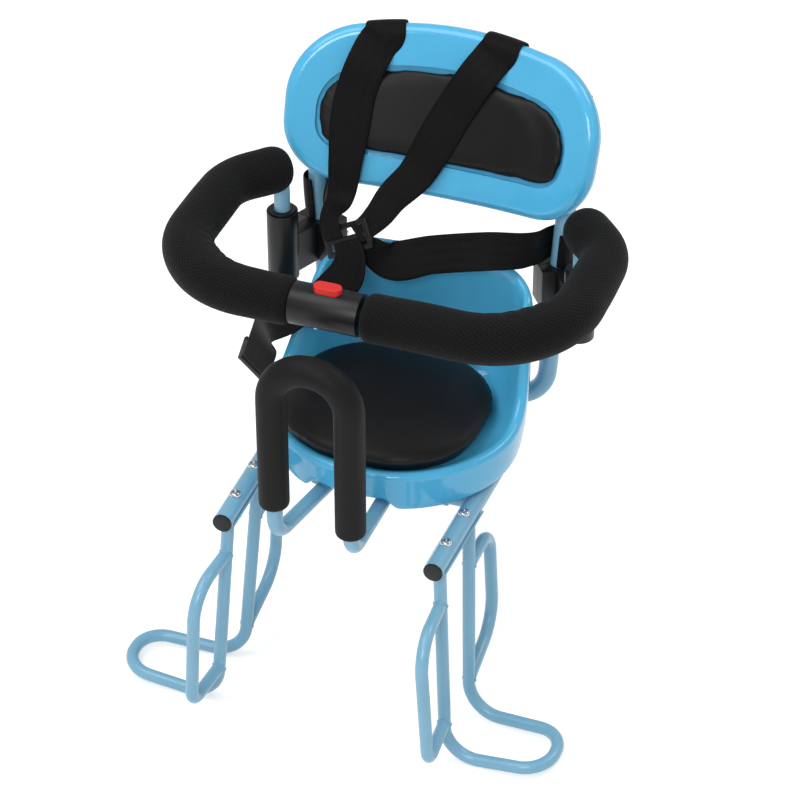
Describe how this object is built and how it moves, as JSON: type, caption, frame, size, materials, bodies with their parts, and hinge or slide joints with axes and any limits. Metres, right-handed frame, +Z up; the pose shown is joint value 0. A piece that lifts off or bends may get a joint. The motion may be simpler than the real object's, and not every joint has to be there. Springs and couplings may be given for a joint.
{
  "type": "child bike seat",
  "caption": "Child bicycle seat with a moulded bucket and backrest, a tubular frame with footrest legs and a hand bar, a harness, and a padded guard bar that opens at a buckle.",
  "frame": {"origin": "centre of the four rack bolt holes, on the rack plate's underside", "axes": "+Z up, the seated child faces -Y, +X is the child's left and the right of the picture"},
  "size_m": [0.4564, 0.4425, 0.5912],
  "materials": {
    "frame_paint": "satin powder coat",
    "blue_plastic": "glossy moulded",
    "leatherette": "soft black leatherette",
    "mesh_foam": "black spacer mesh over foam",
    "grip_foam": "smooth dark foam",
    "webbing": "black woven webbing",
    "black_plastic": "black moulded, satin",
    "red_plastic": "red moulded",
    "bright_steel": "bright plated",
    "plain_steel": "plain steel"
  },
  "bodies": {
    "frame": {"backrest_pad": "leatherette", "backrest_screws": "bright_steel", "backrest_shell": "blue_plastic", "clamp_bolts": "bright_steel", "front_cross_tube": "frame_paint", "handle_grip": "grip_foam", "handle_tube": "frame_paint", "harness_adjuster": "black_plastic", "left_barrel": "black_plastic", "left_belt_wrap": "webbing", "left_clamp_cap": "black_plastic", "left_front_guard": "frame_paint", "left_leg_loop": "frame_paint", "left_pin_bush": "black_plastic", "left_rail": "frame_paint", "left_rail_cap": "black_plastic", "left_rear_guard": "frame_paint", "left_saddle_channel": "frame_paint", "left_shoulder_strap": "webbing", "left_upright_cap": "black_plastic", "leg_nuts": "bright_steel", "leg_screws": "bright_steel", "rack_plate": "frame_paint", "rear_cross_tube": "frame_paint", "right_barrel": "black_plastic", "right_clamp_cap": "black_plastic", "right_front_guard": "frame_paint", "right_leg_loop": "frame_paint", "right_pin_bush": "black_plastic", "right_rail": "frame_paint", "right_rail_cap": "black_plastic", "right_rear_guard": "frame_paint", "right_saddle_channel": "frame_paint", "right_shoulder_strap": "webbing", "right_upright_cap": "black_plastic", "seat_cushion": "leatherette", "seat_screws": "bright_steel", "seat_shell": "blue_plastic", "tail_adjuster": "black_plastic", "tail_strap": "webbing", "upright_hoop": "frame_paint", "waist_belt": "webbing"},
    "left_arm": {"left_arm_tube": "frame_paint", "left_arm_sleeve": "mesh_foam", "buckle_upper": "black_plastic", "buckle_lower": "black_plastic", "buckle_screws": "bright_steel", "latch_spring": "plain_steel"},
    "right_arm": {"right_arm_tube": "frame_paint", "right_arm_sleeve": "mesh_foam", "latch_tongue": "plain_steel"},
    "release_button": {"release_button": "red_plastic", "latch_plate": "plain_steel"}
  },
  "joints": [
    {"name": "right_arm_swing", "type": "hinge", "parent": "frame", "child": "right_arm", "pos_m": [0.161, 0.095, 0.247], "axis": [0, 0, 1], "range_deg": [0, 80]},
    {"name": "left_arm_swing", "type": "hinge", "parent": "frame", "child": "left_arm", "pos_m": [-0.145, 0.095, 0.247], "axis": [0, 0, -1], "range_deg": [0, 80]},
    {"name": "button_press", "type": "slide", "parent": "left_arm", "child": "release_button", "axis": [0, 0, -1], "range_m": [0, 0.003], "stiffness_N_per_m": 1500, "springref_m": -0.001, "deforming": ["latch_spring"]}
  ]
}
